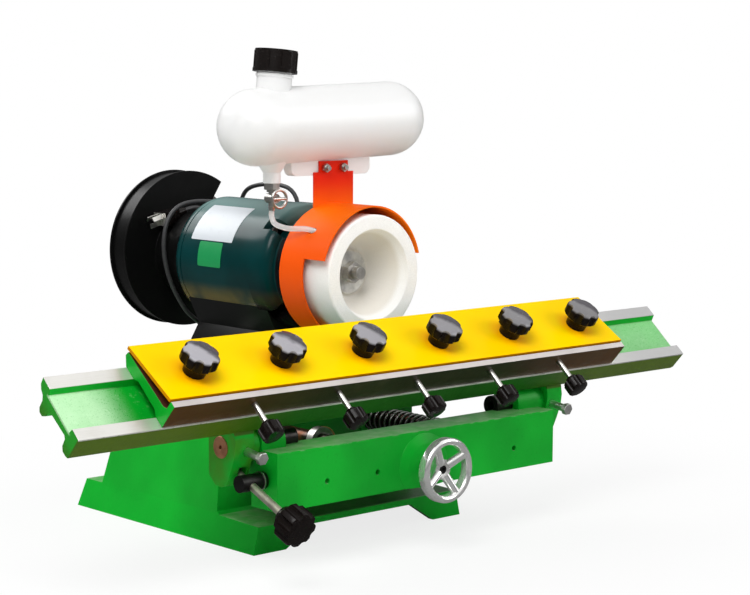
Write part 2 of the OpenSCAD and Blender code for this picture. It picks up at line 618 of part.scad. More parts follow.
bed_side = [[0, 0], [16, 0], [18, -9], [bed_w - 20, -9], [bed_w - 17, 0], [bed_w, 0], [bed_w - 1.5, -9],
            [bed_w - 6, -13.5], [bed_w - 12, -16], [bed_w - 15.5, -21], [bed_w - 16.5, -31],
            [bed_w - 20, -bed_h - 2], [bed_w - 26, -bed_h - 2], [bed_w - 30.5, -bed_h + 3], [bed_w - 31.5, -25],
            [bed_w - 37, -19], [22, -17], [18.5, -19.5], [16.8, -29], [12.5, -bed_h], [6, -bed_h],
            [1.5, -bed_h + 1.5], [0, -bed_h + 6]];
lug_side = [[-278, 177], [-280, 163], [-278, 148], [-271, 130], [-263, 112], [-253, 109], [-242, 110],
            [-230, 121], [-229, 233], [-284, 187]];
module bed_casting() color(GREEN) difference() {
  union() {
    on_bed() yz(-bed_l / 2, bed_l / 2) polygon(bed_side);
    each_side() {
      yz(lug_in + 13, lug_out) polygon(lug_side);
      xcyl(21, lug_in, lug_out - 2, pivot_y, pivot_z);
      // the lug's hollow root under the bed
      on_bed() difference() {
        translate([lug_out - 1, 22, -36]) cube([15, 44, 22]);
        translate([lug_out + 14, 20, -36]) rotate([-90, 0, 0]) cylinder(h = 48, r = 14.5);
      }
    }
  }
  each_side() xcyl(pivot_r + run, lug_in - 5, lug_out + 5, pivot_y, pivot_z);
  for (s = [-1, 1]) lock_place(s) translate([0, 0, 5]) cylinder(h = 40, r = 5 + run);
  // swivel's blind bore and the slot for the tilt screw, in the left lug only
  xcyl(8 + run, -269, -240, swivel_y, swivel_z);
  yz(tilt_x - 6.5, tilt_x + 6.5) translate([swivel_y, swivel_z]) rotate(180 + rod_drop) {
    polygon([[0, 5.6], [40, 22], [40, -22], [0, -5.6]]);
  }
}
lock_drop = 8;
module lock_place(s) translate([s * -tilt_x, pivot_y, pivot_z]) rotate([90 + lock_drop, 0, 0]) children();
module lock_bolt(s) color(STEEL) lock_place(s) {
  translate([0, 0, pivot_r + 0.4]) cylinder(h = 37, r = 5);
  translate([0, 0, 50]) cylinder(h = 6.4, r = 13.6 / sqrt(3), $fn = 6);
}
module lock_bolt_l() lock_bolt(-1);
module lock_bolt_r() lock_bolt(1);

// tilt screw

module tilt_axis() translate([tilt_x, swivel_y, swivel_z]) rotate([90 + rod_drop, 0, 0]) children();
module tilt_trunnion() color(BLACK) difference() {
  union() {
    xcyl(10, -270, -233.5, trun_y, trun_z);
    xcyl(5, -234, -222, trun_y, trun_z);
  }
  translate([tilt_x, trun_y, trun_z]) rotate([90 + rod_drop, 0, 0]) translate([0, 0, -20]) cylinder(h = 40, r = rod_r + 0.8);
  difference() {
    xcyl(11, -240, -238.5, trun_y, trun_z);
    xcyl(8.8, -241, -237, trun_y, trun_z);
  }
}
module trunnion_clip() color(STEEL) difference() {
  xcyl(11.5, -240, -238.5, trun_y, trun_z);
  xcyl(8.8, -241, -237, trun_y, trun_z);
  translate([-242, trun_y - 4, trun_z - 14]) cube([6, 8, 8]);
}
module tilt_swivel() color(STEEL) difference() {
  xcyl(8, -268.6, -246.5, swivel_y, swivel_z);
  tilt_axis() translate([0, 0, -20]) cylinder(h = 40, r = rod_r + run);
}
module tilt_rod() color(STEEL) tilt_axis() {
  translate([0, 0, -5.5]) cylinder(h = 129, r = rod_r);
}
module tilt_knob() color(BLACK) tilt_axis() fluted(22.5, 6, 8, 4.8, 108, 140)
  polygon([[rod_r, 100], [12, 100], [14, 107], [20, 108.5], [22.5, 111], [22.5, 130.5], [21.4, 133], [19, 134],
           [0, 134], [0, 123.5], [rod_r, 123.5]]);

// carriage and clamp plate

car_side = [[car_front, 0.3], [17, 0.3], [24, 5], [64, 5], [72, 0.3], [91, 0.3], [100, 9.5], [99, 15.3],
            [car_front + lip_w + 6, 19.5], [car_front + lip_w, floor_v], [car_front + lip_w, lip_top],
            [car_front, lip_top]];
keel_in = 40;
star_x = [for (i = [0:star_n - 1]) car_x + (i - (star_n - 1) / 2) * knob_pitch];
adj_x = [for (i = [0:star_n - 2]) car_x + (i - (star_n - 2) / 2) * knob_pitch];
module carriage_body() color(STEEL) difference() {
  union() {
    on_bed() yz(car_x - car_l / 2, car_x + car_l / 2) polygon(car_side);
    // key that runs between the rails
    on_bed() yz(car_x - car_l / 2 + keel_in, car_x + car_l / 2 - keel_in)
      polygon([[19.3, 6], [19.3, -8.4], [bed_w - 21.3, -8.4], [bed_w - 21.3, 6]]);
  }
  for (x = star_x) on_plate() translate([x, star_s, -28]) cylinder(h = 28, r = 5 + run);
  for (x = adj_x) on_bed() translate([x, -5, adj_v]) rotate([-90, 0, 0]) cylinder(h = 24, r = 3.5 + run);
}
module clamp_plate() color([1, 0.86, 0.02]) difference() {
  on_plate() translate([car_x - car_l / 2, 0, -plate_t]) cube([car_l, plate_w, plate_t]);
  for (x = star_x) on_plate() translate([x, star_s, -10]) cylinder(h = 20, r = 5 + run);
}
module star_knob(i) color(BLACK) on_plate() translate([star_x[i], star_s, 0]) rotate(i * 17)
  fluted(22.5, 7, 7, 4.2, 12, 40)
    polygon([[0, -22], [5, -22], [5, 0.3], [13.5, 0.3], [14, 7], [15.5, 12], [20, 13.5], [22.5, 16], [22.5, 26],
             [21.4, 28.6], [19, 30], [12, 31], [0, 31.5]]);
module star_knob_1() star_knob(0);
module star_knob_2() star_knob(1);
module star_knob_3() star_knob(2);
module star_knob_4() star_knob(3);
module star_knob_5() star_knob(4);
module star_knob_6() star_knob(5);
module adjuster(i) color(BLACK) on_bed() translate([adj_x[i], 0, adj_v]) rotate([90, 0, 0]) rotate(i * 23)
  fluted(14, 3.8, 7, 3, 31, 60)
    polygon([[0, -13], [3.5, -13], [3.5, 27], [7, 27], [8.5, 31], [12.5, 31.5], [14, 33], [14, 45], [13, 46.6],
             [11, 47.5], [0, 47.5]]);
module adjuster_1() adjuster(0);
module adjuster_2() adjuster(1);
module adjuster_3() adjuster(2);
module adjuster_4() adjuster(3);
module adjuster_5() adjuster(4);

// what is drawn

module seat() translate([0, origin_y, 0]) children();

seat() base_casting();
seat() motor_bracket();
seat() bracket_bolts();
seat() motor_shell();
seat() motor_rear_bell();
seat() motor_front_bell();
seat() through_bolts();
seat() wheel_guard();
seat() guard_screws();
seat() coolant_bottle();
seat() bottle_bolts();
seat() bottle_cap();
seat() petcock_key();
seat() petcock_body();
seat() coolant_hose();
seat() rear_guard();
seat() rear_guard_cover();
seat() switch_box();
seat() switch_rocker();
seat() cord_gland();
seat() cord_lead_a();
seat() cord_coil();
seat() cord_lead_b();
seat() plug();
seat() feed_nut();
seat() rotor_shaft();
seat() wheel_flanges();
seat() cup_wheel();
seat() wheel_nuts();
seat() rear_wheel();
seat() rear_flanges();
seat() saddle_beam();
seat() pivot_shafts();
seat() guide_bars();
seat() stop_collar();
seat() return_spring();
seat() handwheel();
seat() leadscrew();
seat() handwheel_screw();
seat() bed_casting();
seat() tilt_trunnion();
seat() trunnion_clip();
seat() tilt_swivel();
seat() tilt_rod();
seat() tilt_knob();
seat() lock_bolt_l();
seat() lock_bolt_r();
seat() carriage_body();
seat() clamp_plate();
seat() star_knob_1();
seat() star_knob_2();
seat() star_knob_3();
seat() star_knob_4();
seat() star_knob_5();
seat() star_knob_6();
seat() adjuster_1();
seat() adjuster_2();
seat() adjuster_3();
seat() adjuster_4();
seat() adjuster_5();
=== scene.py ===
"""Dressed model of a planer knife grinder, laid out as a Blender add-on and run as a script."""

import json
import math

import bmesh
import bpy
from bpy.props import FloatProperty, FloatVectorProperty, PointerProperty
from mathutils import Matrix, Vector


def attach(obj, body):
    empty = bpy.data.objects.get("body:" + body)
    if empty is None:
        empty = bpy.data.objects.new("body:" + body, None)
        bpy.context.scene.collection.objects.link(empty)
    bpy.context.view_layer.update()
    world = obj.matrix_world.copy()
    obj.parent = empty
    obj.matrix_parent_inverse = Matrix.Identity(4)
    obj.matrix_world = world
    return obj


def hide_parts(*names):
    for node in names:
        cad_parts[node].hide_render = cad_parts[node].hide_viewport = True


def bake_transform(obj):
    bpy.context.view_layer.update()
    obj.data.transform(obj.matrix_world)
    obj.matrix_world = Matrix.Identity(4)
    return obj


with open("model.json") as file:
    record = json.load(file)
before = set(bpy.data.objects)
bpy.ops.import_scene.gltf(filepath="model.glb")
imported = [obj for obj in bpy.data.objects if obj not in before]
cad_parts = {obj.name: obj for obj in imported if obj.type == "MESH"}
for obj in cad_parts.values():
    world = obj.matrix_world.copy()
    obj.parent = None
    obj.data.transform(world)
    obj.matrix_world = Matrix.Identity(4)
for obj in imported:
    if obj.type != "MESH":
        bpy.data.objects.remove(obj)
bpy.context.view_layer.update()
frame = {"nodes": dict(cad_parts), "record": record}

bl_info = {
    "name": "Planer knife grinder",
    "version": (1, 0, 0),
    "blender": (4, 5, 0),
    "location": "View3D > Sidebar > Grinder",
    "description": "Builds the visible pieces of a planer knife grinder on its packed frame",
    "category": "Object",
}

# places shared with the solids, in metres on the frame's axes; SHIFT takes the solids' own y there
SHIFT = 0.087
AXIS_Z = 0.334
BELL_FRONT = -0.1 + SHIFT
CUP_FRONT, CUP_BACK, CUP_INNER = -0.22 + SHIFT, -0.15 + SHIFT, 0.052
SADDLE_FRONT, SADDLE_TOP = -0.304 + SHIFT, 0.15
PIVOT_BARE = 0.264
BED_Y, BED_Z, BED_TILT = -0.2993 + SHIFT, 0.1977, math.radians(42)
BED_HALF = 0.5
CARRIAGE_LEFT, CARRIAGE_RIGHT = -0.3905, 0.3505
CARRIAGE_MID = (CARRIAGE_LEFT + CARRIAGE_RIGHT) / 2
PLUG_AT, PLUG_DIR = Vector((-0.0171, 0.157 + SHIFT, 0.3942)), Vector((-0.9659, 0.0, -0.2588))
PLUG_PINS = 0.042
FEED_PITCH = 0.004

# places across the bed from its front edge (u) and above its top (v), in metres
CARRIAGE_FACE, CARRIAGE_TOP = 0.0019, 0.0338
SLOT_U, SLOT_V = 0.009, 0.01465
ADJUSTER_BACK = -0.027
CLAMP_U, CLAMP_V, CLAMP_LEAN = 0.0115, 0.0358, math.radians(9.3)

# star knobs along and across the clamp plate, in metres, and the numbers of knobs and adjusters
KNOB_X, KNOB_PITCH, KNOB_ACROSS = 0.043, 0.126, 0.0383
STAR_KNOBS, ADJUSTERS = 6, 5

# blank plates that follow the motor's shell: places along the axis in millimetres, heights in degrees
SHELL_R, PLATE_THICK = 0.08202, 0.0004
NAMEPLATE = {"ends": (-22, 64), "heights": (22, 63), "corner": 0.0015}
STICKER = {"ends": (-5, 43), "heights": (-2, 20.8), "corner": 0.0025}

# return spring round the right guide bar, in millimetres
SPRING_X, SPRING_Z, SPRING_R = 80, 132, 14.4
SPRING_ENDS, SPRING_TURNS, SPRING_STEPS = (-255.6, -115.4), 14, 24

# camera: its place in millimetres, its turns in degrees, its image and focal length in pixels
CAMERA_AT = (-1692.62, -2080.78, 598.99)
CAMERA_PAN, CAMERA_DOWN, CAMERA_ROLL = -42.19, 6.64, 0.303
IMAGE_WIDTH, FOCAL_LENGTH, SENSOR = 750, 2033.5, 36

# lamps: place and aim in metres, size and power
LAMPS = {
    "key": ((-1.6, -1.3, 2.3), (0, -0.1, 0.25), 1.7, 62),
    "fill": ((1.9, -1.8, 1.4), (0, -0.1, 0.25), 1.6, 26),
    "back": ((-0.6, 2.0, 2.0), (0, 0, 0.3), 1.5, 30),
}
FLOOR_HALF = 20
WHITE = (1, 1, 1)

# joining of a solid's loose triangles, in metres, and of its flat faces
WELD, FLAT = 2e-6, math.radians(0.4)

# routes of the mains cord and the hose on the solids' own axes, in millimetres; samples in metres
CORD_STEP, HOSE_STEP = 0.006, 0.003
LEAD_A = [
    (84, 36, 399), (84, 36.9, 405.8), (84, 39.7, 412.4), (84, 44.2, 418.2), (84, 50, 422.6), (84, 57, 425.8),
    (84, 69, 428.2), (84, 88, 429.4), (84, 113, 428), (84, 138, 423), (84.4, 153, 414.5), (85.2, 162, 400),
    (86.4, 164.5, 380), (88, 161, 350), (89, 153, 315), (88, 147.5, 280), (88, 149, 240), (90, 160, 190),
    (94, 178, 135), (100, 193, 90), (105, 203.5, 60), (109, 211.5, 39.5), (111.8, 217.4, 26),
    (113, 221.4, 18), (113.7, 225, 12.7), (114, 229.5, 8.4), (114, 234.7, 5.4), (114, 240.3, 3.8),
    (114, 246, 3.2),
]
LEAD_B = [
    (26, 246, 10), (26, 240.3, 10.6), (25.9, 234.6, 12.4), (25.7, 229.5, 15.4), (25.4, 225, 19.5),
    (25, 221.2, 24.8), (24.2, 217, 33), (23, 211, 48), (21.4, 203, 70), (19, 188, 106), (17.5, 173, 138),
    (16, 158.5, 172), (12.5, 147, 200), (4, 137.5, 221), (-8, 132, 236.5), (-21, 130, 247), (-34.5, 130, 258),
    (-48, 130, 276), (-60.5, 130, 298), (-69, 130, 322), (-72.6, 130, 344.5), (-71.8, 130, 364),
    (-66.5, 130, 382.5), (-56.5, 129, 397), (-42, 126, 405.5), (-23, 120, 408.5), (2, 113, 407),
    (19, 111, 403), (33, 111, 398.7), (46.2, 114.6, 394.6), (56, 124.2, 391.2), (59.5, 137.5, 389),
    (56, 150.8, 388.2), (46.2, 160.4, 388.9), (33, 164, 391), (18, 162.8, 394.4), (4, 159.9, 396.8),
    (-7, 157.8, 396.6), (-17.1, 157, 394.2),
]
HOSE = [
    (-88, -118, 413), (-88, -118, 405), (-87, -124, 396), (-81, -142, 391.5), (-69, -164, 391.5),
    (-58, -179, 386),
]

# the coil winds inwards on the floor, climbs over half a turn and winds outwards on top
COIL_AT, COIL_TURNS, COIL_OUT, COIL_IN = (70, 246), 2, 44, 28
COIL_STEPS, COIL_LOW, COIL_CLIMB = 36, 3.2, 6.8

# strap round the coil: corners in millimetres, other sizes in metres
TIE_X, TIE_CORNERS = 66.5, ((204.4, 0.9), (219.6, 0.9), (219.6, 12.9), (204.4, 12.9))
TIE_WIDTH, TIE_ROUND, TIE_THICK = 0.007, 0.0032, 0.0007


def at(x, y, z):
    """A point given in millimetres on the solids' own axes, in the frame's metres."""
    return Vector((x / 1000, y / 1000 + SHIFT, z / 1000))


def colour(name, value, text):
    """A colour that a user may change."""
    return FloatVectorProperty(
        name=name, description=text, default=value, size=3, min=0, max=1, subtype="COLOR",
    )


def length(name, value, text):
    """A length that a user may change."""
    return FloatProperty(
        name=name, description=text, default=value, min=0, max=3, precision=4,
        subtype="DISTANCE", unit="LENGTH",
    )


class GrinderColours(bpy.types.PropertyGroup):
    """Colours of the finishes"""

    casting: colour("Casting", (0.001, 0.37, 0.021), "Gloss green on the castings")
    motor: colour("Motor", (0.0004, 0.03, 0.031), "Dark teal on the motor")
    black: colour("Black paint", (0.004, 0.004, 0.004), "Gloss black on the bracket and the rear guard")
    guard: colour("Guard", (0.97, 0.185, 0.002), "Orange on the cup wheel's guard")
    plate: colour("Clamp plate", (1.0, 0.68, 0.0), "Yellow on the clamp plate")
    abrasive: colour("Abrasive", (0.93, 0.925, 0.905), "White abrasive of the cup wheel")
    plastic: colour("Black plastic", (0.006, 0.004, 0.0035), "Moulded knobs and cap")
    steel: colour("Steel", (0.6, 0.58, 0.55), "Ground and turned steel")
    cord: colour("Cord", (0.035, 0.035, 0.037), "Mains cord's cover")


class GrinderSizes(bpy.types.PropertyGroup):
    """Sizes that the visible pieces add to the solids"""

    cast_edge: length("Casting edge", 0.002, "Rounding of a casting's edges")
    sheet_edge: length("Sheet edge", 0.0005, "Rounding of a sheet's edges")
    small_edge: length("Small edge", 0.0004, "Rounding of a turned piece's edges")
    moulded_edge: length("Moulded edge", 0.001, "Rounding of a moulded or pressed piece's edges")
    wheel_edge: length("Wheel edge", 0.0008, "Rounding of a grinding wheel's edges")
    bottle_edge: length("Bottle edge", 0.0015, "Rounding of the bottle's edges")
    cord: length("Cord", 0.006, "Diameter of the mains cord")
    hose: length("Hose", 0.007, "Diameter of the coolant hose")
    wire: length("Spring wire", 0.0044, "Diameter of the return spring's wire")


def colours():
    return bpy.context.scene.grinder_colours


def sizes():
    return bpy.context.scene.grinder_sizes


class Sock:
    """A socket of a material's nodes, with arithmetic."""

    def __init__(self, tree, socket=None):
        self.tree, self.socket = tree, socket

    def node(self, kind, settings=None, out=0, **inputs):
        """Adds a node: its settings are set first, then its sockets get values or links."""
        new = self.tree.nodes.new("ShaderNode" + kind)
        for key, value in (settings or {}).items():
            setattr(new, key, value)
        for key, value in inputs.items():
            numbered = key[0] == "i" and key[1:].isdigit()
            self.feed(new.inputs[int(key[1:]) if numbered else key.replace("_", " ")], value)
        return Sock(self.tree, new.outputs[out])

    def feed(self, socket, value):
        """Links a socket or sets its value; a colour of three numbers is opaque."""
        if isinstance(value, Sock):
            self.tree.links.new(value.socket, socket)
        elif socket.type == "RGBA" and len(value) == 3:
            socket.default_value = (*value, 1)
        else:
            socket.default_value = value

    def parts(self):
        """x, y and z of a vector as three sockets."""
        split = self.node("SeparateXYZ", Vector=self).socket.node
        return [Sock(self.tree, o) for o in split.outputs]

    def math(self, operation, a, b=0.0):
        return self.node("Math", {"operation": operation}, i0=a, i1=b)

    def __add__(self, b):
        return self.math("ADD", self, b)

    __radd__ = __add__

    def __sub__(self, b):
        return self.math("SUBTRACT", self, b)

    def __rsub__(self, b):
        return self.math("SUBTRACT", b, self)

    def __mul__(self, b):
        return self.math("MULTIPLY", self, b)

    __rmul__ = __mul__

    def __abs__(self):
        return self.math("ABSOLUTE", self)

    def power(self, b):
        return self.math("POWER", self, b)

    def least(self, b):
        return self.math("MINIMUM", self, b)

    def most(self, b):
        return self.math("MAXIMUM", self, b)

    def rise(self, low, high):
        """0 below low, 1 above high, smooth between."""
        smooth = {"interpolation_type": "SMOOTHSTEP"}
        return self.node("MapRange", smooth, Value=self, From_Min=low, From_Max=high)

    def past(self, edge, soft):
        """0 before an edge and 1 past it, soft on both sides."""
        return self.rise(edge - soft, edge + soft)

    def between(self, low, high, soft):
        """1 from low to high, 0 outside, soft at both ends."""
        return self.past(low, soft) * (1 - self.past(high, soft))

    def tint(self, a, b):
        """Colour a where this is 0 and b where it is 1."""
        return self.node("Mix", {"data_type": "RGBA"}, out=2, i0=self, i6=a, i7=b)


class Finish:
    """A new material: its Object coordinates and its Principled shader."""

    def __init__(self, name, **constants):
        self.material = bpy.data.materials.new(name)
        self.material.use_nodes = True
        self.tree = self.material.node_tree
        self.shader = self.tree.nodes["Principled BSDF"]
        self.start = Sock(self.tree)
        self.place = self.start.node("TexCoord", out=3)
        for key, value in constants.items():
            self.set(key.replace("_", " "), value)

    def set(self, socket, value):
        self.start.feed(self.shader.inputs[socket], value)

    def painted(self, tone, rough):
        """Sets the base colour and the roughness, and gives the material."""
        self.set("Base Color", tone)
        self.set("Roughness", rough)
        return self.material

    def axes(self):
        """x, y and z of the place as three sockets."""
        return self.place.parts()

    def upward(self):
        """1 on a face that looks up, 0 on an upright one."""
        return self.start.node("TexCoord", out=1).parts()[2]

    def noise(self, scale, detail=3, rough=0.5, place=None):
        place = place or self.place
        return self.start.node("TexNoise", Vector=place, Scale=scale, Detail=detail, Roughness=rough)

    def cells(self, scale):
        return self.start.node("TexVoronoi", Vector=self.place, Scale=scale)

    def bump(self, height, strength, distance):
        self.set("Normal", self.start.node("Bump", Height=height, Strength=strength, Distance=distance))

    def along(self, start, direction):
        """Distance from a point along an axis, in metres."""
        dot = {"operation": "DOT_PRODUCT"}
        far = self.start.node("VectorMath", dot, out=1, i0=self.place, i1=tuple(direction))
        return far - start.dot(direction)

    def from_bed(self):
        """Places along the bed, across its top from the front edge, and above it, in metres."""
        x, y, z = self.axes()
        y, z = y - BED_Y, z - BED_Z
        c, s = math.cos(BED_TILT), math.sin(BED_TILT)
        return x, y * c + z * s, z * c - y * s


def shade(value, k):
    """A colour made k times as light."""
    return tuple(min(1, c * k) for c in value)


def paint_layers(f, base):
    """Tone and roughness of gloss brush paint over a rough casting: sags, pits and pale dust on flat tops."""
    wide = f.noise(9, 2).rise(0.35, 0.7)
    fine = f.noise(240, 2)
    pits = 1 - f.cells(420).rise(0.0, 0.25)
    specks = f.noise(330, 1).rise(0.66, 0.72)
    tone = wide.tint(shade(base, 0.86), shade(base, 1.1))
    tone = (specks * 0.22).tint(tone, shade(base, 0.55))
    settled = f.upward().rise(0.78, 0.92) * (0.2 + f.noise(55, 4, 0.65).rise(0.35, 0.7) * 0.35)
    tone = settled.tint(tone, (0.34, 0.46, 0.28))
    f.bump(fine * 0.6 + f.noise(46, 2) * 1.6 - pits * 0.25, 0.32, 0.0006)
    return tone, 0.3 + fine * 0.14 + wide * 0.06


def casting_finish():
    """Green casting, with painted shade on the pedestal's front face and foot under the saddle."""
    f = Finish("green_casting", Specular_IOR_Level=0.16)
    x, y, z = f.axes()
    tone, rough = paint_layers(f, shade(colours().casting, 1.12))
    # painted shade under the saddle and the guide bars, on the pedestal's front face and the foot's top,
    # mottled
    shade_under_saddle = x.between(-0.12, 0.25, 0.04) * y.between(-0.1, -0.012, 0.003) * (1 - z.rise(0.2, 0.22))
    oil_and_painted_light = shade_under_saddle * (0.6 + f.noise(20, 3) * 0.4)
    return f.painted(oil_and_painted_light.tint(tone, (0.003, 0.05, 0.004)), rough)


def saddle_finish():
    """Green casting, rubbed along the top edge of its front."""
    f = Finish("saddle_casting", Specular_IOR_Level=0.16)
    y, z = f.axes()[1:]
    tone, rough = paint_layers(f, shade(colours().casting, 0.93))
    near = 1 - y.past(SADDLE_FRONT + 0.001, 0.0006)
    rub = near * z.past(SADDLE_TOP - 0.0013, 0.0005) * f.noise(70, 3, 0.7).rise(0.45, 0.65)
    return f.painted((rub * 0.4).tint(tone, (0.3, 0.36, 0.27)), rough + rub * 0.15)


def ground_marks(f):
    """Fine grinding lines along the bed, and stains here and there."""
    stretched = f.start.node("Mapping", Vector=f.place, Scale=(9, 2600, 2600))
    lines = f.noise(1.0, 3, 0.6, stretched)
    stains = f.noise(24, 4, 0.6).rise(0.45, 0.75)
    return lines, stains


def bed_paint(f, x, u, v):
    """Tone and roughness of the bed's green paint with its dust, painted sheen, painted shade and painted
    reflection.
    """
    tone, rough = paint_layers(f, colours().casting)
    # the channel's floor carries chalky dust and a painted sheen of light, both palest at the left end where
    # the light falls
    floor = v.between(-0.0104, -0.0078, 0.0004) * u.between(0.016, 0.072, 0.002)
    pale_dust_and_sheen = (1 - x.rise(-0.46, -0.4)) * 0.74 + x.rise(0.3, 0.36) * 0.36
    dots = f.noise(620, 2, 0.6).rise(0.58, 0.68)
    streaks = f.noise(150, 3, 0.6).rise(0.58, 0.75)
    dust = pale_dust_and_sheen * (0.86 + f.noise(40, 2) * 0.28) + streaks * 0.12 - dots * 0.24
    tone = (floor * dust).most(0.0).least(1.0).tint(tone, (0.66, 0.94, 0.62))
    # painted shade darkens the front face, and a painted olive-brown reflection colours it towards both ends;
    # painted shade darkens the left lug; the sawn ends are darker, more so towards the bottom
    face = (1 - u.rise(0.001, 0.002)) * v.rise(-0.0335, -0.032)
    tone = (face * 0.85).tint(tone, (0.012, 0.055, 0.002))
    olive_reflection = face * abs(x).rise(0.17, 0.34) * (0.75 + f.noise(22, 3) * 0.3)
    tone = olive_reflection.least(1.0).tint(tone, (0.075, 0.125, 0.003))
    lug_shade = (1 - v.rise(-0.037, -0.0335)) * (1 - x.rise(-0.225, -0.215)) * f.noise(30, 3).rise(0.3, 0.6)
    tone = (lug_shade * 0.6).tint(tone, (0.06, 0.17, 0.004))
    ends = abs(x).past(BED_HALF - 0.0009, 0.0003)
    sawn = ends * (0.45 + (1 - v.rise(-0.034, -0.012)) * 0.4)
    return sawn.tint(tone, (0.03, 0.13, 0.004)), rough


def bed_finish():
    """Green casting whose two rails are ground bare."""
    f = Finish("bed_casting_rails", Specular_IOR_Level=0.16)
    x, u, v = f.from_bed()
    tone, rough = bed_paint(f, x, u, v)
    lines, stains = ground_marks(f)
    front_edge = (1 - u.rise(0.0006, 0.001)) * v.rise(-0.0022, -0.0014)
    worn = front_edge * f.noise(90, 3, 0.7).rise(0.25, 0.45)
    bare = v.rise(-0.0007, -0.0002).most(worn)
    metal = (lines * 0.6 + stains * 0.3).tint((0.84, 0.83, 0.8), (0.62, 0.6, 0.55))
    # painted shade: the bare rails turn greyer towards the right end, away from the light on the left
    metal = (x.rise(0.3, 0.42) * 0.75).tint(metal, (0.42, 0.42, 0.43))
    f.set("Metallic", bare * 0.75)
    return f.painted(bare.tint(tone, metal), rough * (1 - bare) + bare * (0.26 + lines * 0.2))


def carriage_finish():
    """Oil-brown ground front, bright strip along its top, green casting elsewhere."""
    f = Finish("carriage_casting", Specular_IOR_Level=0.16)
    x, u, v = f.from_bed()
    tone, rough = paint_layers(f, colours().casting)
    lines, stains = ground_marks(f)
    inside = x.between(CARRIAGE_LEFT, CARRIAGE_RIGHT, 0.0002)
    top = v.past(CARRIAGE_TOP, 0.0002)
    front = (1 - u.past(CARRIAGE_FACE, 0.0002)).most(top) * inside
    slot = u.past(SLOT_U, 0.0002) * v.past(SLOT_V, 0.00015) * (1 - front) * inside
    ends = abs(x - CARRIAGE_MID).rise(0.1, 0.36)
    oil_and_painted_light = ends.tint((0.014, 0.016, 0.003), (0.1, 0.038, 0.002))
    oil_and_painted_light = (lines * 0.35 + stains * 0.3).tint(oil_and_painted_light, (0.08, 0.055, 0.025))
    strip = (lines * 0.7 + stains * 0.25).tint((0.76, 0.71, 0.69), (0.5, 0.45, 0.43))
    body = slot.tint(tone, (0.07, 0.02, 0.012))
    f.set("Metallic", front * (0.45 + top * 0.4))
    tone = front.tint(body, top.tint(oil_and_painted_light, strip))
    return f.painted(tone, rough * (1 - front) + front * (0.27 + lines * 0.22))


def enamel(name):
    """A finish with the gloss of the motor's enamel, and the enamel's tone and roughness."""
    base = colours().motor
    f = Finish(name, Specular_IOR_Level=0.16)
    z = f.axes()[2] - AXIS_Z
    f.bump(f.noise(60, 2), 0.04, 0.0003)
    tone = f.noise(12, 2).rise(0.3, 0.7).tint(shade(base, 0.8), shade(base, 1.2))
    # a painted highlight lightens the top, and a painted reflection of the yellow plate browns the underside
    tone = (z.rise(0.048, 0.084) * 0.75).tint(tone, (0.2, 0.36, 0.34))
    oil_and_painted_light = z.between(-0.06, -0.034, 0.012) * f.noise(18, 3).rise(0.2, 0.6)
    tone = (oil_and_painted_light * 0.75).tint(tone, (0.17, 0.12, 0.025))
    return f, tone, 0.16 + f.noise(300, 2) * 0.08


def motor_finish():
    """Teal enamel of the shell and the rear bell."""
    f, tone, rough = enamel("motor_teal_paint")
    return f.painted(tone, rough)


def bell_finish():
    """The front bell: its neck and the underside of its lip are painted black as shade."""
    f, tone, rough = enamel("motor_front_paint")
    y, z = f.axes()[1:]
    # painted shade: black on the neck and under the lip
    unshaded_enamel = y.past(BELL_FRONT, 0.001) * z.rise(AXIS_Z - 0.055, AXIS_Z - 0.01)
    return f.painted(unshaded_enamel.tint(tuple(colours().black), tone), rough)


def black_paint_finish():
    """Gloss black with a little grey dust."""
    f = Finish("black_gloss_paint", Specular_IOR_Level=0.11)
    dust = f.noise(160, 4, 0.7).rise(0.6, 0.85)
    f.bump(f.noise(120, 2), 0.12, 0.0004)
    tone = (dust * 0.4).tint(tuple(colours().black), (0.02, 0.02, 0.02))
    return f.painted(tone, 0.26 + dust * 0.25 + f.noise(30, 2) * 0.1)


def guard_finish():
    """Orange sheet, with painted shade making its left side darker and redder, and redder on its tab."""
    base = tuple(colours().guard)
    f = Finish("orange_sheet_paint", Specular_IOR_Level=0.06)
    x, _, z = f.axes()
    tone = f.noise(16, 2).rise(0.3, 0.7).tint(shade(base, 0.9), base)
    # painted shade on the left side of the sheet
    tone = x.rise(-0.088, -0.025).tint((0.86, 0.09, 0.003), tone)
    tone = z.rise(0.395, 0.455).tint(tone, (0.74, 0.02, 0.004))
    f.bump(f.noise(70, 2), 0.12, 0.0004)
    return f.painted(tone, 0.34 + f.noise(220, 2) * 0.14)


def on_plate(f):
    """Places along the clamp plate's length, across it and above its face, in metres."""
    x, u, v = f.from_bed()
    u, v = u - CLAMP_U, v - CLAMP_V
    c, s = math.cos(CLAMP_LEAN), math.sin(CLAMP_LEAN)
    return x, u * c - v * s, v * c + u * s


def plate_finish():
    """Yellow plate with thin paint on its cut edges, and a painted orange shadow round each knob."""
    base = tuple(colours().plate)
    red, green, blue = base
    f = Finish("yellow_plate_paint", Specular_IOR_Level=0.03)
    x, across, up = on_plate(f)
    lower, front = 1 - up.rise(-0.0012, -0.0008), 1 - across.rise(0.0002, 0.0006)
    left = 1 - x.past(CARRIAGE_LEFT - 0.0001, 0.0002)
    edge = lower.most(front).most(left)
    tone = f.noise(7, 2).rise(0.3, 0.7).tint((red, green * 0.9, blue), base)
    # painted shadow: deeper orange in a ring round each knob's seat
    half = KNOB_PITCH / 2
    beside = half - f.start.math("PINGPONG", x - CARRIAGE_MID, half)
    off = beside.power(2) + (across - KNOB_ACROSS).power(2)
    ring = 1 - off.power(0.5).rise(0.012, 0.034)
    tone = (ring * 0.85).tint(tone, (1.0, 0.4, 0.0))
    tone = (edge * 0.85).tint(tone, (0.5, 0.15, 0.0))
    f.bump(f.noise(40, 2) + f.noise(180, 2) * 0.4, 0.1, 0.0005)
    return f.painted(tone, 0.3 + f.noise(260, 2) * 0.1)


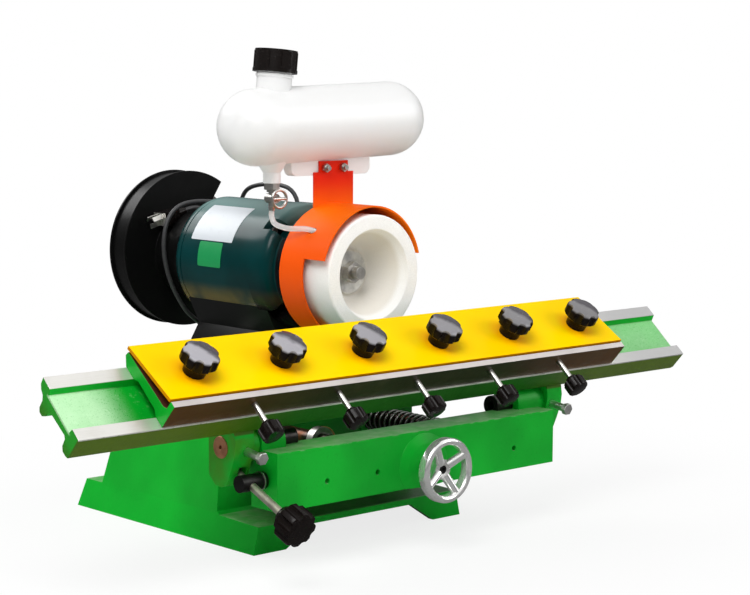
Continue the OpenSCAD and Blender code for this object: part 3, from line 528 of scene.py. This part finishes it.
def abrasive_finish():
    """White grit, stained inside the cup."""
    base = colours().abrasive
    f = Finish("white_abrasive", Specular_IOR_Level=0.3)
    x, y, z = f.axes()
    z = z - AXIS_Z
    radius = (x * x + z * z).power(0.5)
    inner = (1 - radius.past(CUP_INNER, 0.002)) * y.between(CUP_FRONT, CUP_BACK, 0.001)
    grit = f.noise(1500, 2, 0.7)
    pores = f.cells(900).rise(0.02, 0.3)
    tone = grit.rise(0.3, 0.75).tint(shade(base, 0.9), shade(base, 1.05))
    f.bump(grit + pores * 0.6, 0.35, 0.0005)
    return f.painted((inner * 0.6).tint(tone, (0.68, 0.63, 0.54)), 0.8 + grit * 0.15)


def grey_abrasive_finish():
    """Grey grit of the rear wheel."""
    f = Finish("grey_abrasive", Specular_IOR_Level=0.3)
    grit = f.noise(1200, 2, 0.7)
    f.bump(grit, 0.4, 0.0005)
    return f.painted(grit.tint((0.14, 0.135, 0.13), (0.3, 0.29, 0.28)), 0.8 + grit * 0.15)


def plastic_layers(f):
    """Tone and roughness of moulded black plastic with scuffs."""
    scuff = f.noise(140, 4, 0.7).rise(0.55, 0.8)
    f.bump(f.noise(500, 2), 0.05, 0.0002)
    return (scuff * 0.3).tint(tuple(colours().plastic), (0.03, 0.03, 0.03)), 0.24 + scuff * 0.2


def plastic_finish(name, gloss):
    """Moulded black plastic."""
    f = Finish(name, Specular_IOR_Level=gloss)
    return f.painted(*plastic_layers(f))


def star_knob_finish():
    """Black plastic whose broad top carries a painted highlight: pale grey in front, dark at the back,
    brighter towards the left end.
    """
    f = Finish("star_knob_plastic", Specular_IOR_Level=0.13, Coat_Roughness=0.22)
    x, across, up = on_plate(f)
    tone, rough = plastic_layers(f)
    top = up.rise(0.0262, 0.0296)
    half = KNOB_PITCH / 2
    side = f.start.node("Math", {"operation": "WRAP"}, i0=x - KNOB_X, i1=half, i2=-half)
    slant = side * 0.8 + (across - KNOB_ACROSS) * 0.6
    # painted highlight on the broad top: pale grey in front, dark at the back, brighter towards the left end
    back = (slant + f.noise(45, 3, 0.6) * 0.016 - 0.008).rise(-0.002, 0.007)
    painted_highlight = x.rise(-0.35, 0.3).tint((0.38, 0.37, 0.4), (0.19, 0.185, 0.19))
    f.set("Coat Weight", top * 0.35)
    return f.painted(top.tint(tone, back.tint(painted_highlight, (0.045, 0.04, 0.05))), rough)


def tipped_finish(name, steel_mask):
    """Black plastic with a steel part where the mask says so."""
    f = Finish(name, Specular_IOR_Level=0.15)
    bare = steel_mask(f)
    tone, rough = plastic_layers(f)
    haze = f.noise(70, 4, 0.6)
    metal = haze.rise(0.3, 0.75).tint((0.78, 0.77, 0.73), (0.55, 0.53, 0.49))
    f.set("Metallic", bare)
    return f.painted(bare.tint(tone, metal), rough * (1 - bare) + bare * (0.22 + haze * 0.15))


def adjuster_stud(f):
    """1 on an adjuster's stud, behind its knob."""
    return f.from_bed()[1].past(ADJUSTER_BACK, 0.0002)


def plug_pins(f):
    """1 on the plug's pins."""
    return f.along(PLUG_AT, PLUG_DIR).past(PLUG_PINS, 0.0001)


def steel_finish(name, base, low, high):
    """Turned metal with fine lines and a little tarnish, its roughness from low to high."""
    f = Finish(name, Metallic=1.0)
    haze = f.noise(70, 4, 0.6)
    lines = f.noise(900, 2)
    f.bump(lines, 0.05, 0.0002)
    tone = haze.rise(0.3, 0.75).tint(base, shade(base, 0.62))
    return f.painted(tone, low + haze * (high - low) + lines * 0.08)


def pivot_finish():
    """Oiled shaft: brown at its outer ends, black in the saddle."""
    f = Finish("pivot_shaft_steel", Metallic=0.75)
    x = f.axes()[0]
    haze = f.noise(70, 4, 0.6).rise(0.3, 0.75)
    outer = abs(x).past(PIVOT_BARE, 0.002)
    brown = haze.tint((0.58, 0.26, 0.14), (0.38, 0.16, 0.085))
    return f.painted(outer.tint((0.02, 0.018, 0.016), brown), 0.3 + haze * 0.25)


def bar_finish():
    """Dark guide bars, rusty in places."""
    f = Finish("dark_guide_bar", Metallic=0.9)
    rust = f.noise(26, 4, 0.6).rise(0.45, 0.65)
    return f.painted(rust.tint((0.04, 0.03, 0.025), (0.22, 0.075, 0.03)), 0.26 + rust * 0.25)


def feed_screw_finish(base):
    """Steel with a thread's ridges along the feed screw."""
    f = Finish("feed_screw_thread", Metallic=1.0)
    y = f.axes()[1]
    ridge = f.start.math("SINE", y * (2 * math.pi / FEED_PITCH))
    haze = f.noise(70, 4, 0.6)
    f.bump(ridge, 0.5, 0.0006)
    tone = (haze * 0.5 + (ridge * 0.5 + 0.5) * 0.4).tint(shade(base, 0.45), base)
    return f.painted(tone, 0.28 + haze * 0.2)


def alloy_finish():
    """Polished light alloy."""
    f = Finish("polished_alloy", Metallic=0.78, Specular_IOR_Level=0.6)
    smear = f.noise(60, 3)
    return f.painted(smear.tint((0.9, 0.9, 0.9), (0.76, 0.75, 0.73)), 0.1 + smear * 0.12)


def bottle_finish():
    """Milky plastic that lets a little light through."""
    f = Finish("milky_bottle", Transmission_Weight=0.05, Subsurface_Weight=0.35, Subsurface_Scale=0.012)
    f.set("Subsurface Radius", (1.0, 1.0, 1.0))
    f.bump(f.noise(60, 2), 0.08, 0.0005)
    return f.painted(f.noise(14, 2).tint((0.93, 0.93, 0.92), (0.97, 0.97, 0.965)), 0.35)


def hose_finish():
    """Clear soft plastic."""
    f = Finish("clear_hose", Transmission_Weight=0.55, IOR=1.4)
    return f.painted(f.noise(90, 2).tint((0.86, 0.83, 0.82), (0.95, 0.93, 0.92)), 0.2)


def cord_finish():
    """Dusty rubber."""
    f = Finish("cord_cover", Specular_IOR_Level=0.4)
    dust = f.noise(200, 4, 0.7).rise(0.5, 0.8)
    return f.painted((dust * 0.5).tint(tuple(colours().cord), (0.09, 0.09, 0.09)), 0.42 + dust * 0.3)


def red_finish():
    """Red plastic of the switch's rocker."""
    f = Finish("red_rocker", Specular_IOR_Level=0.5)
    tone = f.noise(80, 2).tint((0.42, 0.012, 0.01), (0.55, 0.02, 0.015))
    return f.painted(tone, 0.25 + f.noise(300, 2) * 0.1)


def blank_plate_finish(name, tone, worn_tone):
    """A blank plate with a little wear."""
    f = Finish(name, Specular_IOR_Level=0.5)
    wear = f.noise(120, 4, 0.65).rise(0.5, 0.85)
    f.bump(f.noise(90, 2), 0.06, 0.0003)
    return f.painted((wear * 0.25).tint(tone, worn_tone), 0.35 + wear * 0.2)


FINISHES = {}


def make_finishes():
    """Makes every finish once, under the short name that the pieces use."""
    steel = tuple(colours().steel)
    FINISHES.update(
        casting=casting_finish(),
        saddle=saddle_finish(),
        bed=bed_finish(),
        carriage=carriage_finish(),
        motor=motor_finish(),
        bell=bell_finish(),
        black=black_paint_finish(),
        guard=guard_finish(),
        plate=plate_finish(),
        abrasive=abrasive_finish(),
        grey=grey_abrasive_finish(),
        plastic=plastic_finish("black_moulded_plastic", 0.12),
        cap=plastic_finish("cap_moulded_plastic", 0.34),
        star_knob=star_knob_finish(),
        adjuster=tipped_finish("adjuster_knob_and_stud", adjuster_stud),
        plug=tipped_finish("plug_and_pins", plug_pins),
        pivot=pivot_finish(),
        bar=bar_finish(),
        steel=steel_finish("turned_steel", steel, 0.22, 0.42),
        washer=steel_finish("wheel_fixing_steel", (0.84, 0.83, 0.8), 0.26, 0.4),
        dark=steel_finish("blued_steel", (0.035, 0.034, 0.033), 0.3, 0.5),
        spring=steel_finish("spring_wire_steel", (0.2, 0.195, 0.19), 0.16, 0.3),
        bronze=steel_finish("feed_nut_bronze", (0.55, 0.34, 0.12), 0.3, 0.5),
        rod=steel_finish("tilt_rod_steel", (0.74, 0.7, 0.58), 0.3, 0.45),
        screw=feed_screw_finish(steel),
        alloy=alloy_finish(),
        bottle=bottle_finish(),
        hose=hose_finish(),
        cord=cord_finish(),
        red=red_finish(),
        nameplate=blank_plate_finish("blank_nameplate", (0.6, 0.64, 0.68), (0.45, 0.48, 0.5)),
        sticker=blank_plate_finish("blank_sticker", (0.004, 0.28, 0.075), (0.02, 0.36, 0.14)),
    )


def placed(name, data):
    """A new object in the scene."""
    obj = bpy.data.objects.new(name, data)
    bpy.context.scene.collection.objects.link(obj)
    return obj


def add_object(name, data, finish, body):
    """A new object with one finish, which rides on a body."""
    obj = placed(name, data)
    data.materials.clear()
    data.materials.append(FINISHES[finish])
    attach(obj, body)
    return obj


def smooth_by_angle(bm, degrees):
    """Shades faces smooth, with sharp edges past an angle."""
    limit = math.radians(degrees)
    for face in bm.faces:
        face.smooth = True
    for edge in bm.edges:
        edge.smooth = len(edge.link_faces) == 2 and edge.calc_face_angle(0) < limit


def piece(bm, name, finish, body, degrees=35):
    """Turns a bmesh into a piece that rides on a body."""
    smooth_by_angle(bm, degrees)
    mesh = bpy.data.meshes.new(name)
    bm.to_mesh(mesh)
    bm.free()
    return add_object(name, mesh, finish, body)


NODE_BODY = {n: b for b, nodes in frame["record"]["behaviour"]["bodies"].items() for n in nodes}


def joined_copy(node):
    """A solid's mesh with its loose triangles joined and its flat faces merged."""
    bm = bmesh.new()
    bm.from_mesh(frame["nodes"][node].data)
    bmesh.ops.remove_doubles(bm, verts=bm.verts, dist=WELD)
    bmesh.ops.dissolve_limit(bm, angle_limit=FLAT, verts=bm.verts, edges=bm.edges)
    return bm


def rounded(node, finish, width, degrees=30, segments=2):
    """Stands for a solid: the same shape with its sharp edges rounded."""
    obj = piece(joined_copy(node), node + "_piece", finish, NODE_BODY[node], degrees)
    bevel = obj.modifiers.new("Edge", "BEVEL")
    bevel.width, bevel.segments = width, segments
    bevel.limit_method, bevel.angle_limit = "ANGLE", math.radians(degrees)
    bevel.harden_normals = False
    bevel.use_clamp_overlap = True
    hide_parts(node)
    return obj


def moulded(node, finish, width):
    """Stands for a moulded or polished solid, whose edges are rounded more finely."""
    return rounded(node, finish, width, degrees=25, segments=3)


def wire(name, points, diameter, sides=6):
    """A round curve through points."""
    data = bpy.data.curves.new(name, "CURVE")
    data.dimensions = "3D"
    data.bevel_depth, data.bevel_resolution = diameter / 2, sides
    data.use_fill_caps = True
    spline = data.splines.new("POLY")
    spline.points.add(len(points) - 1)
    for point, co in zip(spline.points, points):
        point.co = (*co, 1)
    spline.use_smooth = True
    return data


def through(points, step):
    """A smooth route through given points in millimetres, sampled about every step metres."""
    points = [at(*p) for p in points]
    out = []
    for i in range(len(points) - 1):
        b, c = points[i], points[i + 1]
        a = points[i - 1] if i else b * 2 - c
        d = points[i + 2] if i + 2 < len(points) else c * 2 - b
        n = max(1, round((c - b).length / step))
        for t in (k / n for k in range(n)):
            square = (2 * a - 5 * b + 4 * c - d) * t * t
            cube = (3 * b - a - 3 * c + d) * t**3
            out.append(0.5 * (2 * b + (c - a) * t + square + cube))
    return out + [points[-1]]


def path_length(points):
    """Length of a line of points, in metres."""
    return sum((b - a).length for a, b in zip(points, points[1:]))


def coil_points():
    """The coil's turns, from the end of the first run to the start of the second."""
    out = []
    span = (COIL_OUT - COIL_IN) / COIL_TURNS
    for i in range(int(COIL_STEPS * (2 * COIL_TURNS + 0.5)) + 1):
        t = i / COIL_STEPS
        r = max(COIL_IN, COIL_OUT - span * t, COIL_IN + span * (t - COIL_TURNS - 0.5))
        z = COIL_LOW + COIL_CLIMB * min(1, max(0, (t - COIL_TURNS) / 0.5))
        a = 2 * math.pi * t
        out.append(at(COIL_AT[0] + r * math.cos(a), COIL_AT[1] + r * math.sin(a), z))
    return out


class GRINDER_OT_camera(bpy.types.Operator):
    """Sets the camera where the photograph was taken from"""

    bl_idname = "grinder.camera"
    bl_label = "Camera"

    def execute(self, context):
        data = bpy.data.cameras.new("camera")
        data.sensor_fit, data.sensor_width = "HORIZONTAL", SENSOR
        data.lens = SENSOR * FOCAL_LENGTH / IMAGE_WIDTH
        data.clip_end = 50
        obj = placed("camera", data)
        turn = (
            Matrix.Rotation(math.radians(CAMERA_PAN), 4, "Z")
            @ Matrix.Rotation(math.radians(90 - CAMERA_DOWN), 4, "X")
            @ Matrix.Rotation(math.radians(CAMERA_ROLL), 4, "Z")
        )
        obj.matrix_world = Matrix.Translation(at(*CAMERA_AT)) @ turn
        context.scene.camera = obj
        context.scene.view_settings.view_transform = "Standard"
        return {"FINISHED"}


class GRINDER_OT_cord(bpy.types.Operator):
    """Lays the mains cord from the switch box to its coil and on to the plug"""

    bl_idname = "grinder.cord"
    bl_label = "Mains cord"

    def execute(self, context):
        points = through(LEAD_A, CORD_STEP) + coil_points()[1:] + through(LEAD_B, CORD_STEP)[1:]
        data = wire("mains_cord", points, sizes().cord)
        cord = add_object("mains_cord", data, "cord", "stand")
        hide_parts("cord_lead_a", "cord_coil", "cord_lead_b")
        plug = rounded("plug", "plug", sizes().small_edge)
        gland = rounded("cord_gland", "plastic", sizes().small_edge)
        round(path_length(points), 3)
        self.tie()
        return {"FINISHED"}

    @staticmethod
    def tie():
        """A strap round the coil's four runs."""
        bm = bmesh.new()
        ring = [bm.verts.new(at(TIE_X, y, z)) for y, z in TIE_CORNERS]
        for a, b in zip(ring, ring[1:] + ring[:1]):
            bm.edges.new((a, b))
        bmesh.ops.bevel(
            bm, geom=ring, offset=TIE_ROUND, affect="VERTICES", segments=5, profile=0.5, material=-1,
        )
        strip = bmesh.ops.extrude_edge_only(bm, edges=bm.edges)["geom"]
        side = [v for v in strip if isinstance(v, bmesh.types.BMVert)]
        bmesh.ops.translate(bm, verts=side, vec=(TIE_WIDTH, 0, 0))
        bmesh.ops.recalc_face_normals(bm, faces=bm.faces)
        bmesh.ops.solidify(bm, geom=bm.faces, thickness=-TIE_THICK)
        bmesh.ops.recalc_face_normals(bm, faces=bm.faces)
        return piece(bm, "coil_tie", "plastic", "stand")


class GRINDER_OT_castings(bpy.types.Operator):
    """Dresses the pedestal, saddle, bed and carriage castings"""

    bl_idname = "grinder.castings"
    bl_label = "Castings"

    def execute(self, context):
        edge = sizes().cast_edge
        rounded("base_casting", "casting", edge * 1.2, segments=3)
        rounded("saddle_beam", "saddle", edge, segments=3)
        rounded("bed_casting", "bed", edge * 0.4)
        rounded("carriage_body", "carriage", edge * 0.25)
        rounded("clamp_plate", "plate", sizes().sheet_edge)
        rounded("motor_bracket", "black", edge)
        return {"FINISHED"}


def curved_plate(name, finish, ends, heights, corner):
    """A blank plate on the motor's shell, between two heights given as angles above the axis."""
    low, high = (math.radians(a) for a in heights)
    bm = bmesh.new()
    x, z = -SHELL_R * math.cos(low), AXIS_Z + SHELL_R * math.sin(low)
    lower = [bm.verts.new((x, y / 1000 + SHIFT, z)) for y in ends]
    edge = bm.edges.new(lower)
    bmesh.ops.spin(
        bm, geom=[*lower, edge], cent=(0, 0, AXIS_Z), axis=(0, 1, 0), dvec=(0, 0, 0), angle=high - low,
        steps=12, use_merge=False, use_duplicate=False,
    )
    corners = [v for v in bm.verts if len(v.link_edges) == 2]
    bmesh.ops.bevel(bm, geom=corners, offset=corner, affect="VERTICES", segments=4, profile=0.5, material=-1)
    bmesh.ops.recalc_face_normals(bm, faces=bm.faces)
    for face in bm.faces:
        if face.normal.x > 0:
            face.normal_flip()
    bmesh.ops.solidify(bm, geom=bm.faces, thickness=-PLATE_THICK)
    bmesh.ops.recalc_face_normals(bm, faces=bm.faces)
    return piece(bm, name, finish, "stand")


class GRINDER_OT_motor(bpy.types.Operator):
    """Dresses the motor, its wheels and their guards"""

    bl_idname = "grinder.motor"
    bl_label = "Motor and wheels"

    def execute(self, context):
        size = sizes()
        rounded("motor_shell", "motor", size.moulded_edge)
        rounded("motor_rear_bell", "motor", size.moulded_edge)
        rounded("motor_front_bell", "bell", size.moulded_edge)
        curved_plate("motor_nameplate", "nameplate", **NAMEPLATE)
        curved_plate("motor_sticker", "sticker", **STICKER)
        rounded("wheel_guard", "guard", size.sheet_edge)
        rounded("rear_guard", "black", size.sheet_edge)
        rounded("rear_guard_cover", "black", size.sheet_edge)
        rounded("cup_wheel", "abrasive", size.wheel_edge)
        rounded("rear_wheel", "grey", size.wheel_edge)
        bolts = ("through_bolts", "guard_screws", "bracket_bolts")
        for node in (*bolts, "rotor_shaft", "rear_flanges", "wheel_nuts"):
            rounded(node, "steel", size.small_edge)
        rounded("wheel_flanges", "washer", size.small_edge)
        rounded("switch_box", "plastic", size.moulded_edge)
        rounded("switch_rocker", "red", size.small_edge)
        return {"FINISHED"}


class GRINDER_OT_coolant(bpy.types.Operator):
    """Dresses the bottle, its cap, petcock and hose"""

    bl_idname = "grinder.coolant"
    bl_label = "Coolant bottle"

    def execute(self, context):
        small = sizes().small_edge
        moulded("coolant_bottle", "bottle", sizes().bottle_edge)
        rounded("bottle_cap", "cap", small)
        for node in ("bottle_bolts", "petcock_body", "petcock_key"):
            rounded(node, "steel", small)
        data = wire("coolant_hose_piece", through(HOSE, HOSE_STEP), sizes().hose)
        hose = add_object("coolant_hose_piece", data, "hose", "stand")
        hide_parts("coolant_hose")
        return {"FINISHED"}


class GRINDER_OT_cross_slide(bpy.types.Operator):
    """Dresses the bars, spring, screw and handwheel of the cross slide"""

    bl_idname = "grinder.cross_slide"
    bl_label = "Cross slide"

    def execute(self, context):
        small = sizes().small_edge
        rounded("pivot_shafts", "pivot", small)
        rounded("guide_bars", "bar", small)
        rounded("stop_collar", "steel", small)
        rounded("feed_nut", "bronze", small)
        moulded("handwheel", "alloy", sizes().moulded_edge)
        rounded("leadscrew", "screw", small)
        rounded("handwheel_screw", "dark", small)
        self.spring()
        return {"FINISHED"}

    @staticmethod
    def spring():
        """One wire wound round the right guide bar."""
        half = sizes().wire * 1000 / 2
        y0, y1 = SPRING_ENDS[0] + half, SPRING_ENDS[1] - half
        points = []
        for i in range(SPRING_TURNS * SPRING_STEPS + 1):
            t = i / SPRING_STEPS
            a = 2 * math.pi * t
            x, z = SPRING_X + SPRING_R * math.cos(a), SPRING_Z + SPRING_R * math.sin(a)
            points.append(at(x, y0 + (y1 - y0) * t / SPRING_TURNS, z))
        raw = placed("spring_wire", wire("spring_wire", points, sizes().wire, 3))
        mesh = bpy.data.meshes.new_from_object(raw.evaluated_get(bpy.context.evaluated_depsgraph_get()))
        bpy.data.objects.remove(raw)
        obj = placed("return_spring_piece", mesh)
        mesh.materials.clear()
        mesh.materials.append(FINISHES["spring"])
        at(SPRING_X, y0, SPRING_Z)
        at(SPRING_X, y1, SPRING_Z)
        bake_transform(obj)
        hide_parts("return_spring")


class GRINDER_OT_controls(bpy.types.Operator):
    """Dresses the knobs, screws and pins that the operator turns"""

    bl_idname = "grinder.controls"
    bl_label = "Controls"

    def execute(self, context):
        edge, small = sizes().moulded_edge, sizes().small_edge
        for i in range(STAR_KNOBS):
            moulded(f"star_knob_{i + 1}", "star_knob", edge)
        for i in range(ADJUSTERS):
            moulded(f"adjuster_{i + 1}", "adjuster", edge * 0.6)
        moulded("tilt_knob", "plastic", edge * 0.9)
        rounded("tilt_rod", "rod", small)
        rounded("tilt_trunnion", "dark", small)
        rounded("trunnion_clip", "steel", small / 2)
        rounded("tilt_swivel", "steel", small)
        rounded("lock_bolt_l", "washer", small)
        rounded("lock_bolt_r", "washer", small)
        return {"FINISHED"}


def empty_nodes(owner):
    """The start of a material's or a world's nodes, with none there yet."""
    owner.use_nodes = True
    owner.node_tree.nodes.clear()
    return Sock(owner.node_tree)


def light_rays(start):
    """Masks of the rays that the camera sees by, straight or through a clear piece, and of mirrored rays."""
    rays = start.node("LightPath").socket.node.outputs
    camera, clear, mirrored = (
        Sock(start.tree, rays[name]) for name in ("Is Camera Ray", "Is Transmission Ray", "Is Glossy Ray")
    )
    return camera.most(clear), mirrored


def surface(start, output, shader):
    """Ends a material's or a world's nodes with their output."""
    start.feed(start.tree.nodes.new("ShaderNodeOutput" + output).inputs["Surface"], shader)


class GRINDER_OT_stage(bpy.types.Operator):
    """Lays a pale floor and sets soft studio light"""

    bl_idname = "grinder.stage"
    bl_label = "Stage"

    def execute(self, context):
        mesh = bpy.data.meshes.new("floor")
        bm = bmesh.new()
        bmesh.ops.create_grid(bm, x_segments=1, y_segments=1, size=FLOOR_HALF)
        bm.to_mesh(mesh)
        bm.free()
        mesh.materials.append(self.floor_finish())
        floor = placed("floor", mesh)
        context.scene.world = self.studio()
        for name, lamp in LAMPS.items():
            self.lamp(name, *lamp)
        return {"FINISHED"}

    @staticmethod
    def floor_finish():
        """Pale, and white away from the machine."""
        material = bpy.data.materials.new("pale_floor")
        start = empty_nodes(material)
        seen, mirrored = light_rays(start)
        x, y, _ = start.node("TexCoord", out=3).parts()
        far = (x * x + y * y * 1.6).power(0.5)
        body = start.node("BsdfDiffuse", Color=(0.9, 0.9, 0.9))
        light = start.node("Emission", Color=WHITE, Strength=1.0)
        mixed = start.node("MixShader", i0=seen * (0.8 + far.rise(0.4, 0.95) * 0.2), i1=body, i2=light)
        # a mirror sees the floor dull, as on a workshop bench
        dull = start.node("Emission", Color=WHITE, Strength=0.1)
        surface(start, "Material", start.node("MixShader", i0=mirrored * 0.85, i1=mixed, i2=dull))
        return material

    @staticmethod
    def studio():
        """A white background and soft light all round."""
        world = bpy.data.worlds.new("studio")
        start = empty_nodes(world)
        seen, mirrored = light_rays(start)
        up = start.node("TexCoord").parts()[2]
        soft, wall, white = (start.node("Background", Color=WHITE, Strength=k) for k in (0.28, 0.12, 1.0))
        # a mirror sees a bright ceiling over duller walls
        mirror = start.node("MixShader", i0=up.rise(0.1, 0.75), i1=wall, i2=white)
        mixed = start.node("MixShader", i0=mirrored, i1=soft, i2=mirror)
        surface(start, "World", start.node("MixShader", i0=seen, i1=mixed, i2=white))
        return world

    @staticmethod
    def lamp(name, place, aim, size, power):
        """A round lamp that points at its aim."""
        data = bpy.data.lights.new(name, "AREA")
        data.shape, data.size, data.energy = "DISK", size, power
        look = (Vector(aim) - Vector(place)).to_track_quat("-Z", "Y")
        placed(name, data).matrix_world = Matrix.Translation(place) @ look.to_matrix().to_4x4()


class GRINDER_PT_panel(bpy.types.Panel):
    """Lists the steps that build the grinder"""

    bl_idname = "GRINDER_PT_panel"
    bl_label = "Planer knife grinder"
    bl_space_type = "VIEW_3D"
    bl_region_type = "UI"
    bl_category = "Grinder"

    def draw(self, context):
        for step in STEPS:
            self.layout.operator(step.bl_idname)
        for group in (context.scene.grinder_colours, context.scene.grinder_sizes):
            for key in group.__annotations__:
                self.layout.prop(group, key)


STEPS = (
    GRINDER_OT_camera,
    GRINDER_OT_cord,
    GRINDER_OT_castings,
    GRINDER_OT_motor,
    GRINDER_OT_coolant,
    GRINDER_OT_cross_slide,
    GRINDER_OT_controls,
    GRINDER_OT_stage,
)
CLASSES = (GrinderColours, GrinderSizes, *STEPS, GRINDER_PT_panel)


def register():
    for cls in CLASSES:
        bpy.utils.register_class(cls)
    bpy.types.Scene.grinder_colours = PointerProperty(type=GrinderColours)
    bpy.types.Scene.grinder_sizes = PointerProperty(type=GrinderSizes)


def unregister():
    del bpy.types.Scene.grinder_sizes
    del bpy.types.Scene.grinder_colours
    for cls in reversed(CLASSES):
        bpy.utils.unregister_class(cls)


def main():
    """Registers the classes and builds every piece in order."""
    register()
    make_finishes()
    for step in STEPS:
        space, name = step.bl_idname.split(".")
        getattr(getattr(bpy.ops, space), name)()


if __name__ == "__main__":
    main()
